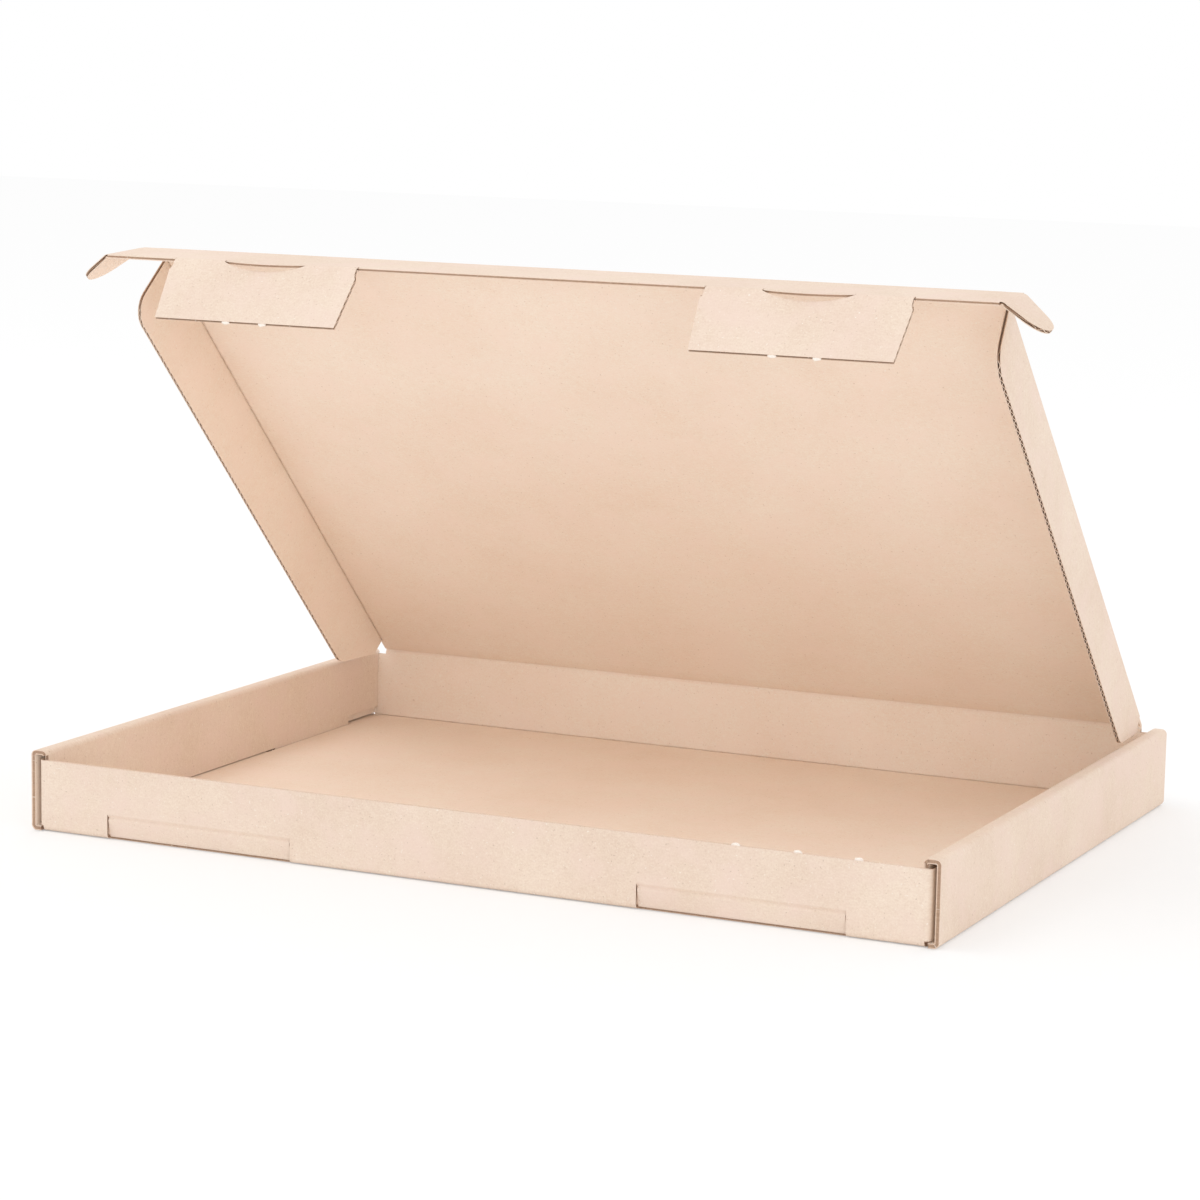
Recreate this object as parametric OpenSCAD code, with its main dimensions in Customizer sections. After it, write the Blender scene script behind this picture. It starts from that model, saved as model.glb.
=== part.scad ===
// Flat mailer box of one folded corrugated sheet, lid half open.
// X runs to the right, Y to the back, Z up; the origin is the middle of the tray's underside.

/* [Board] */
// thickness of the corrugated board in mm
board = 1.5; // [1.2:0.1:3]
// distance from one flute to the next in mm
flute_pitch = 3.3; // [2.4:0.1:7]
// solid board left beside a row of flutes in mm
rim = 1; // [0.5:0.1:2]
// thickness of the two liners in mm
liner = 0.25; // [0.15:0.05:0.5]
// thickness of the wavy sheet between the liners in mm
medium = 0.25; // [0.15:0.05:0.5]
// solid crushed strip beside a fold in mm
crush = 3; // [2:0.5:6]
// outer radius of the folds in mm
fold_r = 1.8; // [1.6:0.1:3]
// clearance left at a hinge beyond half the board in mm
hinge_gap = 0.1; // [0.05:0.05:0.3]

/* [Tray] */
// outer width of the tray in mm
tray_w = 350; // [320:1:380]
// outer depth of the tray in mm
tray_d = 250; // [220:1:280]
// height over the rolled side walls in mm
tray_h = 29.5; // [24:0.5:40]
// how much lower the front wall is than the side walls in mm
front_drop = 3.4; // [1.6:0.1:6]
// clearance of the back wall's ends under the roll-over in mm
back_gap = 0.4; // [0.2:0.1:2]
// gap in the side walls that takes the ears in mm
ear_gap = 1.75; // [1.6:0.05:3]
// gap between the hidden ears and the inner side panels in mm
ply_gap = 0.1; // [0.05:0.05:0.5]
// length of the hidden ears of the front and back walls in mm
dust_l = 80; // [40:1:110]
// how much the hidden ears taper at their free end in mm
dust_taper = 4; // [0:0.5:8]
// clearance under the inner side panels and hidden ears in mm
seat_gap = 0.4; // [0.1:0.1:1]

/* [Side wall locks] */
// near end of a lock tongue from the middle in mm
lock_y0 = 38; // [20:1:60]
// far end of a lock tongue from the middle in mm
lock_y1 = 98; // [70:1:115]
// near end of the slot that takes the lock tongue in mm
lock_slot_y0 = 31.5; // [15:0.5:60]
// clearance of the lock slots in mm
lock_gap = 0.2; // [0.1:0.05:0.5]
// height of the notch at the ends of the inner side panels in mm
notch_h = 3; // [1:0.5:6]
// clearance past the far end of a lock tongue in mm
lock_end = 0.5; // [0.2:0.1:2]

/* [Slots in the front wall] */
// distance of a slot's middle from the outside of the side wall in mm
slot_side = 70.2; // [50:0.1:90]
// clearance of a tab's root in its slot on each side in mm
tab_gap = 0.3; // [0.2:0.1:1]
// height of the fold of the push-in strip above the closed tab in mm
strip_rise = 4.1; // [6:0.2:12]
// length of the push-in strip in mm
strip_l = 7.2; // [5:0.2:10]
// side clearance of the push-in strip in mm
strip_gap = 0.3; // [0.1:0.1:1]
// clearance of the opening behind the front wall in mm
slot_back = 0.5; // [0.2:0.1:2]
// depth of the slot in the bottom panel in mm
slot_depth = 4; // [3:0.5:8]
// how far the push-in strip stands in at rest in degrees
strip_in = 12; // [0:1:60]

/* [Lid] */
// gap between the lid's side folds and the inner side panels in mm
lid_gap = 3.65; // [3:0.05:8]
// gap between the front wall and the closed front flap in mm
front_gap = 0.3; // [0.1:0.1:1]
// height of the lid's hinge fold over the side walls in mm
hinge_rise = 0.5; // [0:0.1:2]
// opening of the lid from closed in degrees
lid_open = 45; // [0:0.1:180]

/* [Side flaps of the lid] */
// gap under the side flaps over the bottom panel when closed in mm
side_foot = 2.3; // [0.5:0.1:4]
// near end of the side flaps from the hinge in mm
side_s0 = 7; // [2:0.5:12]
// clearance at the ends of the side flaps' folds in mm
side_gap = 0.3; // [0.1:0.1:1]
// distance of the side flaps' far end from the front fold in mm
side_end = 4.6; // [3:0.1:10]
// height of the straight part of the rear end below the fold in mm
side_slant_h = 8; // [2:0.5:12]
// run of the slanted rear end for each mm of height
side_slant = 1.03; // [0.8:0.01:1.3]
// radius of the front lower corner of the side flaps in mm
side_r = 9; // [2:0.5:14]
// fold of the side flaps from flat in degrees
side_fold = 84.5; // [0:0.5:90]

/* [Front flap] */
// height of the front flap's free edge over the ground when closed in mm
flap_foot = 3.9; // [3:0.1:5]
// clearance of the ears beside the outer side panels in mm
ear_clear = 0.1; // [0.05:0.05:0.5]
// fold of the front flap from the lid in degrees
flap_fold = 48; // [0:1:90]
// clearance of the flap's edge beside a tab in mm
tab_relief = 0.4; // [0.2:0.1:1]
// step of the flap's shoulders beside the lid in mm
shoulder = 1; // [0:0.5:4]

/* [Ears] */
// length of the ears in mm
ear_l = 16.5; // [12:0.5:26]
// radius of the ear's rounded end in mm
ear_r = 9; // [6:0.5:11]
// clearance of the closed ears under the roll-over in mm
ear_top = 0.8; // [0.3:0.1:3]
// distance of the ear's root from the flap's free edge in mm
ear_end = 0.8; // [0.2:0.1:3]
// fold of the left ear from flat in degrees
left_ear_fold = 36; // [0:1:90]
// fold of the right ear from flat in degrees
right_ear_fold = 36; // [0:1:90]

/* [Tabs] */
// width of a tab at its fold in mm
tab_w = 75; // [60:0.5:90]
// width of a tab at its barbs in mm
tab_barb_w = 76.6; // [60:0.1:92]
// width of a tab at its tip in mm
tab_tip_w = 73.5; // [60:0.5:90]
// length of the barbs' slanted edge behind the front wall in mm
barb_run = 1.65; // [1:0.05:4]
// length of a tab in mm
tab_l = 25; // [15:0.2:30]
// fold of the tabs from the front flap in degrees
tab_fold = 50; // [0:1:90]
// width of the curved tongue cut at a tab's fold in mm
tongue_w = 33; // [20:1:50]
// depth of the curved tongue in mm
tongue_d = 3.3; // [2:0.1:5]
// clearance of the cut around the tongue in mm
tongue_gap = 0.25; // [0.1:0.05:0.5]

/* [Hidden] */
$fn = 48;
eps = 0.01;
half = board / 2;
setback = half + hinge_gap;
half_w = tray_w / 2;
half_d = tray_d / 2;
front_h = tray_h - front_drop;
fold_in = fold_r - board;
dust_x1 = half_w - board - ear_gap;
dust_x0 = dust_x1 - board;
inner_x1 = dust_x0 - ply_gap;
inner_x0 = inner_x1 - board;
wall_w = half_w - inner_x0;
roof_z = tray_h - board;
back_shoulder_h = roof_z - back_gap;
seat_z = board + seat_gap;
hinge_y = half_d - half;
hinge_z = tray_h + hinge_rise;
lid_w = 2 * (inner_x0 - lid_gap);
lid_l = tray_d + front_gap;
side_h = hinge_z - board - side_foot;
side_s1 = lid_l - side_end;
flap_h = hinge_z - flap_foot;
ear_x = half_w - board - ear_clear - half;
ear_u0 = hinge_z - roof_z + ear_top;
ear_u1 = flap_h - ear_end;
strip_z = flap_foot + strip_rise;
slot_w = tab_w + 2 * tab_gap;
slot_x = half_w - slot_side;
tab_neck = half + front_gap + board + tab_gap;
tab_barb_v = tab_neck + barb_run;
wave_h = board - 2 * liner;
side_top_s = side_s0 + side_slant * (side_h - side_slant_h);
tongue_R = (tongue_w * tongue_w / 4 + tongue_d * tongue_d) / (2 * tongue_d);
board_colour = [0.85, 0.74, 0.60];
inside_colour = [0.80, 0.68, 0.52];

// Extrude a section drawn in x and z along y.
module along_y(y0, y1) {
    translate([0, y1, 0]) rotate([90, 0, 0]) linear_extrude(y1 - y0) children();
}

// Extrude a section drawn in y and z along x.
module along_x(x0, x1) {
    translate([x0, 0, 0]) rotate([90, 0, 90]) linear_extrude(x1 - x0) children();
}

// Extrude a plan drawn in x and y along z.
module along_z(z0, z1) {
    translate([0, 0, z0]) linear_extrude(z1 - z0) children();
}

// Box from its low and high corners.
module block(a, b) {
    translate(a) cube(b - a);
}

// Quarter ring of folded board with its outer corner at the origin, opening to +x and +y.
module fold_ring() {
    intersection() {
        translate([fold_r, fold_r]) difference() {
            circle(fold_r);
            circle(fold_in);
        }
        square(fold_r + eps / 10);
    }
}

// Section of the left side wall without its inner panel: bottom fold, outer panel and roll-over.
module side_section() {
    translate([-half_w, 0]) {
        fold_ring();
        translate([fold_r, 0]) square([half_w - dust_x1 - fold_r, board]);
        translate([0, fold_r]) square([board, tray_h - 2 * fold_r]);
        translate([0, tray_h]) mirror([0, 1]) fold_ring();
        translate([fold_r, roof_z]) square([wall_w - 2 * fold_r, board]);
        translate([wall_w, tray_h]) rotate(180) fold_ring();
    }
}

// Inner side panel with its lock tongues, left side.
module inner_panel() {
    difference() {
        block([-inner_x1, -half_d + board + hinge_gap, seat_z],
              [-inner_x0, half_d - board - hinge_gap, tray_h - fold_r]);
        for (s = [-1, 1]) scale([1, s, 1])
            block([-inner_x1 - 1, lock_y1 + eps, 0], [-inner_x0 + 1, half_d, seat_z + notch_h]);
    }
    for (s = [-1, 1]) scale([1, s, 1])
        block([-inner_x1, lock_y0, lock_gap], [-inner_x0, lock_y1, seat_z + 1]);
}

// Slots of the bottom panel for the lock tongues, left side.
module lock_slots() {
    for (s = [-1, 1]) scale([1, s, 1])
        block([-inner_x1 - lock_gap, lock_slot_y0, -1], [-inner_x0 + lock_gap, lock_y1 + lock_end, board + lock_gap]);
}

// Hidden ear folded back from the end of the front wall, left side.
module dust_ear(top) {
    along_z(seat_z, top) translate([-dust_x1, -half_d]) fold_ring();
    translate([-dust_x1, 0, 0]) rotate([90, 0, 90]) linear_extrude(board)
        polygon([[-half_d + fold_r, seat_z], [-half_d + dust_l, seat_z + dust_taper],
                 [-half_d + dust_l, top - dust_taper], [-half_d + fold_r, top]]);
}

// Front wall drawn at the front, with its bottom fold.
module front_wall() {
    along_x(-dust_x1 + fold_r, dust_x1 - fold_r) {
        translate([-half_d, 0]) fold_ring();
        translate([-half_d, fold_r]) square([board, front_h - fold_r]);
    }
}

// Back wall with its bottom fold; the middle rises to the lid's fold.
module back_wall() {
    along_x(-dust_x1 + fold_r, dust_x1 - fold_r) {
        translate([half_d, 0]) mirror([1, 0]) fold_ring();
        translate([half_d - board, fold_r]) square([board, back_shoulder_h - fold_r]);
    }
    block([-lid_w / 2, half_d - board, back_shoulder_h - 1], [lid_w / 2, half_d, hinge_z - setback]);
}

// Opening cut through the front wall and the bottom panel for a tab.
module tab_slot() {
    block([slot_x - slot_w / 2, -half_d - 1, -1], [slot_x + slot_w / 2, -half_d + slot_depth, board + 1]);
    block([slot_x - slot_w / 2, -half_d - 1, -1],
          [slot_x + slot_w / 2, -half_d + board + slot_back, strip_z + setback]);
}

module tray() {
    color(board_colour) difference() {
        union() {
            for (s = [-1, 1]) scale([s, 1, 1]) {
                along_y(-half_d, half_d) side_section();
                inner_panel();
                dust_ear(front_h);
                scale([1, -1, 1]) dust_ear(back_shoulder_h);
            }
            block([-dust_x1 - eps, -half_d + fold_r, 0], [dust_x1 + eps, half_d - fold_r, board]);
            front_wall();
            back_wall();
        }
        for (s = [-1, 1]) scale([s, 1, 1]) {
            lock_slots();
            tab_slot();
        }
    }
}

// Push-in strip of the front wall, drawn about its fold and hanging down.
module strip_shape() {
    rotate([90, 0, 90]) translate([0, 0, -slot_w / 2 + strip_gap]) linear_extrude(slot_w - 2 * strip_gap) {
        circle(half);
        translate([-half, -strip_l]) square([board, strip_l]);
    }
}

module strip_at(s) {
    translate([s * slot_x, -half_d + half, strip_z]) rotate([strip_in, 0, 0]) strip_shape();
}

module left_strip() { color(board_colour) strip_at(-1); }
module right_strip() { color(board_colour) strip_at(1); }

// Frames of the panels. Each is drawn flat in its own frame, running to -y, and folded at its root.
module lid_frame() {
    translate([0, hinge_y, hinge_z]) rotate([-lid_open, 0, 0]) children();
}
module front_frame() {
    lid_frame() translate([0, -lid_l, 0]) rotate([flap_fold, 0, 0]) children();
}
module tab_frame() {
    front_frame() translate([0, -flap_h, 0]) rotate([tab_fold, 0, 0]) children();
}
module side_frame(s) {
    lid_frame() translate([s * lid_w / 2, 0, 0]) rotate([0, s * side_fold, 0]) children();
}
module ear_frame(s, fold) {
    front_frame() translate([s * ear_x, 0, 0]) rotate([0, s * fold, 0]) children();
}

// Board from its plan, half its thickness to each side.
module sheet() {
    translate([0, 0, -half]) linear_extrude(board) children();
}

// Row of flute hollows, seen along the flutes: run is the length of the row.
module flute_row(run) {
    count = floor(run / flute_pitch);
    wide = flute_pitch - medium * 1.6;
    narrow = flute_pitch * 0.18;
    for (i = [0 : count - 1]) translate([(i + 0.5) * flute_pitch, 0]) {
        polygon([[-wide / 2, -wave_h / 2], [wide / 2, -wave_h / 2],
                 [narrow, wave_h / 2 - medium], [-narrow, wave_h / 2 - medium]]);
        if (i < count - 1) translate([flute_pitch / 2, 0])
            polygon([[-narrow, -wave_h / 2 + medium], [narrow, -wave_h / 2 + medium],
                     [wide / 2, wave_h / 2], [-wide / 2, wave_h / 2]]);
    }
}

module lid() {
    color(board_colour) lid_frame() {
        sheet() {
            translate([-lid_w / 2, -side_s0 + side_gap]) square([lid_w, side_s0 - side_gap]);
            translate([-lid_w / 2 + setback, -lid_l + setback]) square([lid_w - 2 * setback, lid_l - setback]);
            translate([-lid_w / 2, -lid_l + setback]) square([lid_w, lid_l - setback - side_s1 - side_gap]);
        }
        rotate([0, 90, 0]) translate([0, 0, -lid_w / 2]) cylinder(r = half, h = lid_w);
    }
}

// Plan of a side flap: x is the height from the fold, y runs along the lid from the hinge to the front.
module side_plan() {
    difference() {
        translate([0, -side_s1]) square([side_h, side_s1 - side_s0]);
        polygon([[side_slant_h, -side_s0 + 1], [side_slant_h, -side_s0], [side_h + 1, -side_top_s - side_slant],
                 [side_h + 1, -side_s0 + 1]]);
        translate([side_h - side_r, -side_s1 + side_r]) difference() {
            translate([0, -side_r - 1]) square([side_r + 1, side_r + 1]);
            circle(side_r);
        }
    }
}

// Side flap drawn flat to +x, with flutes running from the fold to the free edge.
module side_flap_shape() {
    difference() {
        union() {
            sheet() side_plan();
            translate([0, -side_s0, 0]) rotate([90, 0, 0]) cylinder(r = half, h = side_s1 - side_s0);
        }
        translate([crush, 0, 0]) rotate([90, 0, 90]) linear_extrude(side_h)
            translate([-side_s1 + rim, 0]) flute_row(side_s1 - side_s0 - 2 * rim);
    }
}

module left_side_flap() { color(board_colour) side_frame(-1) scale([-1, 1, 1]) side_flap_shape(); }
module right_side_flap() { color(board_colour) side_frame(1) side_flap_shape(); }

// Curved tongue below the flap's edge at a tab, drawn about the middle of the tab's fold.
module tongue_plan() {
    intersection() {
        translate([0, tongue_R - tongue_d]) circle(tongue_R, $fn = 180);
        translate([-tongue_w / 2, -tongue_d - 1]) square([tongue_w, tongue_d + 1]);
    }
}

module front_flap() {
    tab_zone = tab_w / 2 + tab_relief;
    color(board_colour) front_frame() {
        sheet() {
            difference() {
                translate([-ear_x + setback, -flap_h]) square([2 * (ear_x - setback), flap_h - shoulder]);
                for (s = [-1, 1])
                    translate([s * slot_x - tab_zone, -flap_h - 1]) square([2 * tab_zone, 1 + setback]);
            }
            translate([-lid_w / 2, -shoulder - eps]) square([lid_w, shoulder + eps]);
            for (s = [-1, 1]) translate([s * slot_x, -flap_h]) {
                tongue_plan();
                translate([-tongue_w / 2, -eps]) square([tongue_w, setback + 2 * eps]);
            }
        }
        rotate([0, 90, 0]) translate([0, 0, -lid_w / 2]) cylinder(r = half, h = lid_w);
    }
}

// Ear drawn flat to +x with its flutes running out to the tip.
module ear_shape() {
    mid = ear_u1 - ear_r - rim;
    difference() {
        union() {
            sheet() intersection() {
                union() {
                    polygon([[0, -ear_u0], [ear_l - ear_r, -mid + ear_r], [ear_l - ear_r, -mid - ear_r], [0, -ear_u1]]);
                    translate([ear_l - ear_r, -mid]) circle(ear_r);
                }
                translate([0, -ear_u1]) square([ear_l, ear_u1 - ear_u0]);
            }
            translate([0, -ear_u0, 0]) rotate([90, 0, 0]) cylinder(r = half, h = ear_u1 - ear_u0);
        }
        translate([crush, 0, 0]) rotate([90, 0, 90]) linear_extrude(ear_l)
            translate([-ear_u1 + rim, 0]) flute_row(ear_u1 - ear_u0 - 2 * rim);
    }
}

module left_ear() { color(board_colour) ear_frame(-1, left_ear_fold) scale([-1, 1, 1]) ear_shape(); }
module right_ear() { color(board_colour) ear_frame(1, right_ear_fold) ear_shape(); }

// Tab drawn about the middle of its fold, with the cut for the tongue and flutes from side to side.
module tab_shape() {
    difference() {
        union() {
            sheet() polygon([[-tab_w / 2, 0], [-tab_w / 2, -tab_neck], [-tab_barb_w / 2, -tab_barb_v],
                [-tab_tip_w / 2, -tab_l], [tab_tip_w / 2, -tab_l], [tab_barb_w / 2, -tab_barb_v],
                [tab_w / 2, -tab_neck], [tab_w / 2, 0]]);
            rotate([0, 90, 0]) translate([0, 0, -tab_w / 2]) cylinder(r = half, h = tab_w);
        }
        translate([0, 0, -board]) linear_extrude(2 * board) {
            translate([-tongue_w / 2 - tongue_gap, -setback]) square([tongue_w + 2 * tongue_gap, 2 * setback]);
            intersection() {
                translate([0, tongue_R - tongue_d]) circle(tongue_R + tongue_gap, $fn = 180);
                translate([-tongue_w / 2 - tongue_gap, -tongue_d - 1])
                    square([tongue_w + 2 * tongue_gap, tongue_d + 1 + board]);
            }
        }
        translate([-tab_barb_w, 0, 0]) rotate([90, 0, 90]) linear_extrude(2 * tab_barb_w)
            translate([-tab_l + rim, 0]) flute_row(tab_l - tongue_d - tongue_gap - 2 * rim);
    }
}

module left_tab() { color(board_colour) tab_frame() translate([-slot_x, 0, 0]) tab_shape(); }
module right_tab() { color(board_colour) tab_frame() translate([slot_x, 0, 0]) tab_shape(); }

tray();
left_strip();
right_strip();
lid();
left_side_flap();
right_side_flap();
front_flap();
left_ear();
right_ear();
left_tab();
right_tab();
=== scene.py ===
# %% [markdown]
# A flat mailer box is one sheet of brown corrugated board, cut to shape, creased
# and folded. It could be built panel by panel from thin boxes, but every corner
# would then show a seam where the real board bends. Here each board is drawn flat,
# as the die cuts it, and then folded at its creases, which gives the real bends
# and keeps the grain of the paper running the same way over the whole box. The
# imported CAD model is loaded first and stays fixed, because it has the sizes and
# the joints.

# %% Load the frame
import math

import bmesh
import bpy
from mathutils import Matrix, Vector


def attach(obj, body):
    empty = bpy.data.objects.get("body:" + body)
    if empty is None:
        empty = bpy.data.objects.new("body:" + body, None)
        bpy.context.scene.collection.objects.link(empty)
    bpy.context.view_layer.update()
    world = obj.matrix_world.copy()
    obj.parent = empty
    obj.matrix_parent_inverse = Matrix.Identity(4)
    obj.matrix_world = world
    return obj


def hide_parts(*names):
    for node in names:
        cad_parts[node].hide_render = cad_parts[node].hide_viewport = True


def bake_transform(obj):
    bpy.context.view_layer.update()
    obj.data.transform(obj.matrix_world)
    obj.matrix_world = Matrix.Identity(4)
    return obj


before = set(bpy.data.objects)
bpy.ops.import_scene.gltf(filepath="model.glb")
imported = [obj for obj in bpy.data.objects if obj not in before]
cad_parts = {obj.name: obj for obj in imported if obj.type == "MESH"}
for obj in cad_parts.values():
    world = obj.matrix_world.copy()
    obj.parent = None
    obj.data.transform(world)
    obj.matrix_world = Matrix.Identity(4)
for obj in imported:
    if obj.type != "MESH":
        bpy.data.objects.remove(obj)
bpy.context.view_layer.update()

# %% [markdown]
# All lengths are in millimetres, as in the part's source, and the helpers turn
# them into metres. The board is 1.5 mm thick: two flat papers, the liners, with a
# wavy one between them, the medium. Its waves are 3.3 mm long and run across the
# whole sheet from left to right, so only a cut across them shows the row of small
# hollows. A cut edge is grooved between the liners, and a blade leaves a narrow
# gap, the kerf. A crease takes 1.2 mm to each side of its line. Its middle is
# crushed by four tenths, towards a height CRUSH_TO above the middle of the board.
# TINY is the room for a test that looks for one line, NEAR for one that looks for
# a row, and vertices closer than MERGE metres are one.

# %% Sizes of the board
MM = 0.001
TINY = 0.02
NEAR = 0.5
MERGE = 1e-6
BOARD = 1.5
HALF = BOARD / 2
LINER = 0.25
GROOVE = 0.3
PITCH = 3.3
WAVE_STEPS = 10
KERF = 0.3
CREASE = 1.2
CRUSH = 0.4
CRUSH_TO = 0.4
print("board", BOARD, "mm thick, liners", LINER, "mm, waves", PITCH, "mm long")


# %% [markdown]
# Work in edit mode goes the same way each time: choose vertices or faces by their
# place, then use one tool on them. These helpers open a new mesh, choose by a test
# on the place in millimetres, and turn or move what is chosen. With no window,
# Blender's rotate turns the other way, so its angle gets a minus sign. Once a board
# is folded, the place on the flat sheet is still kept in an attribute, and a test
# can ask for that instead.

# %% Helpers to choose and to move
def start(name):
    """Open a new, empty mesh at the origin in edit mode."""
    bpy.ops.object.select_all(action="DESELECT")
    bpy.ops.object.add(type="MESH", location=(0, 0, 0))
    piece = bpy.context.object
    piece.name = piece.data.name = name
    bpy.ops.object.mode_set(mode="EDIT")
    return piece


def choose(piece):
    """Make one piece the only chosen one."""
    bpy.ops.object.select_all(action="DESELECT")
    piece.select_set(True)
    bpy.context.view_layer.objects.active = piece


def edit(piece):
    """Open a finished or half-finished mesh again."""
    choose(piece)
    bpy.ops.object.mode_set(mode="EDIT")


def leave():
    """Close the open mesh."""
    bpy.ops.object.mode_set(mode="OBJECT")


def everything():
    """Choose all of the open mesh."""
    bpy.ops.mesh.select_all(action="SELECT")


def pick(test, faces=False, on_sheet=False):
    """Choose vertices or faces whose place, in mm, passes the test."""
    bpy.ops.mesh.select_mode(type="FACE" if faces else "VERT")
    bpy.ops.mesh.select_all(action="DESELECT")
    mesh = bmesh.from_edit_mesh(bpy.context.edit_object.data)
    layer = mesh.verts.layers.float_vector.get("sheet") if on_sheet else None
    count = 0
    for item in mesh.faces if faces else mesh.verts:
        corners = item.verts if faces else (item,)
        spots = [v[layer] if on_sheet else v.co for v in corners]
        spot = sum(spots, Vector()) / len(spots) / MM
        if test(*spot):
            item.select_set(True)
            count += 1
    mesh.select_flush_mode()
    return count


def turn(angle, axis, x=0.0, y=0.0, z=0.0):
    """Turn what is chosen about a line, by the right hand, in degrees."""
    bpy.ops.transform.rotate(value=-math.radians(angle), orient_axis=axis, orient_type="GLOBAL",
                             center_override=(x * MM, y * MM, z * MM))


def move(x=0.0, y=0.0, z=0.0):
    """Move what is chosen."""
    bpy.ops.transform.translate(value=(x * MM, y * MM, z * MM), orient_type="GLOBAL")


def told(piece):
    """Say what a piece came to."""
    spots = [v.co / MM for v in piece.data.vertices]
    low = [round(min(s[i] for s in spots), 2) for i in range(3)]
    high = [round(max(s[i] for s in spots), 2) for i in range(3)]
    print(piece.name, len(piece.data.polygons), "faces, from", low, "to", high)


# %% [markdown]
# A die cuts board with straight and curved blades. The knife tool needs a window,
# so a bisect plane does that here: it either draws a line across the sheet, along
# which the sheet can be folded, or takes off what lies outside it. A rounded
# corner is a short row of such cuts.

# %% Helpers to cut the sheet
def sheet(x0, x1, y0, y1, z=0.0):
    """Lay one flat sheet into the open mesh."""
    middle = ((x0 + x1) / 2 * MM, (y0 + y1) / 2 * MM, z * MM)
    bpy.ops.mesh.primitive_plane_add(size=MM, location=middle)
    bpy.ops.transform.resize(value=(abs(x1 - x0), abs(y1 - y0), 1), center_override=middle)


def cut(x=0.0, y=0.0, normal=(1, 0), away=False):
    """Draw a line across what is chosen, or cut away what is beyond it."""
    bpy.ops.mesh.bisect(plane_co=(x * MM, y * MM, 0), plane_no=Vector((*normal, 0)).normalized(),
                        clear_outer=away, threshold=MERGE)


def lines_x(places):
    """Draw lines across all sheets, each at one x."""
    for place in places:
        everything()
        cut(x=place, normal=(1, 0))


def lines_y(places):
    """Draw lines across all sheets, each at one y."""
    for place in places:
        everything()
        cut(y=place, normal=(0, 1))


def mirrored(places):
    """The places, and the same ones on the other side."""
    return [side * place for side in (1, -1) for place in places]


def drop(test):
    """Take faces out of the sheet by the place of their middle."""
    if pick(test, faces=True):
        bpy.ops.mesh.delete(type="FACE")


def trim(outline, side=1):
    """Cut along a convex outline, given anticlockwise for side 1 and mirrored for side -1."""
    for (x0, y0), (x1, y1) in zip(outline, outline[1:]):
        everything()
        cut(side * x0, y0, (side * (y1 - y0), x0 - x1), away=True)


def weld():
    """Merge the vertices that the cuts left in one place."""
    everything()
    bpy.ops.mesh.remove_doubles(threshold=MERGE)


def arc(x, y, radius, first, last, steps):
    """Points on an arc, by angles in degrees."""
    angles = [math.radians(first + (last - first) * i / steps) for i in range(steps + 1)]
    return [(x + radius * math.cos(a), y + radius * math.sin(a)) for a in angles]


# %% [markdown]
# Before folding, every vertex writes down where it lies on the flat sheet. The
# folds find their rows by it, and the paper's grain and flute lines are drawn
# along it, so that they follow the board round each bend. An unwrapped map could
# do the same, but it would have to be cut and laid out for every piece.

# %% Helpers for thickness and for the flat place
def mark(piece):
    """Keep the flat place of every vertex."""
    places = piece.data.attributes.new("sheet", "FLOAT_VECTOR", "POINT")
    for vertex, place in zip(piece.data.vertices, places.data):
        place.vector = vertex.co


def thicken(piece, thickness, materials=(0, 0)):
    """Give sheets their thickness, half to each side."""
    board = piece.modifiers.new("Board", "SOLIDIFY")
    board.thickness = thickness * MM
    board.offset = 0
    board.use_even_offset = True
    board.material_offset, board.material_offset_rim = materials
    bpy.ops.object.modifier_apply(modifier=board.name)


def groove(seam, on_sheet=False):
    """Sink the middle of the cut edges, so that two liners show with a core that is sunk and
    painted darker, as painted shade.
    """
    mesh = bmesh.from_edit_mesh(bpy.context.edit_object.data)
    layer = mesh.verts.layers.float_vector.get("sheet") if on_sheet else None
    bpy.ops.mesh.select_mode(type="FACE")
    bpy.ops.mesh.select_all(action="DESELECT")
    for face in mesh.faces:
        if face.material_index == EDGE:
            spots = [v[layer] if on_sheet else v.co for v in face.verts]
            face.select_set(not seam(*(sum(spots, Vector()) / len(spots) / MM)))
    mesh.select_flush_mode()
    bpy.ops.mesh.inset(thickness=LINER * MM, depth=-GROOVE * MM, use_even_offset=False)
    # The sunk faces take the core paper, which is painted darker as painted shade.
    for face in mesh.faces:
        if face.select:
            face.material_index = CORE


# %% [markdown]
# The folds of the tray are made by the maker and stay: the board bends round a
# radius of 1.8 mm outside. Six turns of 15 degrees, one at each row of a narrow
# band, make that bend without stretching the sheet, which a bevel on a sharp
# corner would do.

# %% Helpers to bend for good
BEND_R = 1.8
ROWS = 6
STEP = 90 / ROWS
SETBACK = BEND_R - HALF
ROW = SETBACK / sum(math.cos(math.radians(STEP * k)) for k in range(1, ROWS))
BEND = (ROWS - 1) * ROW
print("a bend takes", round(BEND, 2), "mm of the sheet")


def rows_from(place):
    """The lines of a bend that starts at a place."""
    return [place + k * ROW for k in range(ROWS)]


def roll(axis, place, side, test):
    """Bend up, by a right angle, what lies beyond a place on one side and passes a test."""
    for line in reversed(rows_from(place)):
        if axis == "Y":
            pick(lambda x, y, z: side * x > line + TINY / 10 and test(x, y), on_sheet=True)
            turn(-side * STEP, "Y", x=side * line, z=HALF)
        else:
            pick(lambda x, y, z: side * y > line + TINY / 10 and test(x, y), on_sheet=True)
            turn(side * STEP, "X", y=side * line, z=HALF)


# %% [markdown]
# The folds that move as joints are creases instead: the board is crushed along a
# line, and what is beyond it swings about that line, with the rows of the crease
# taking a growing share. Shares that start and end slowly give a round crease
# without a kink where it meets the flat board.

# %% Helpers to fold at a crease
def share(distance):
    """How much of a fold a row takes, from 0 to 1 across the crease."""
    part = min(max((distance + CREASE) / (2 * CREASE), 0.0), 1.0)
    return part * part * (3 - 2 * part)


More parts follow.
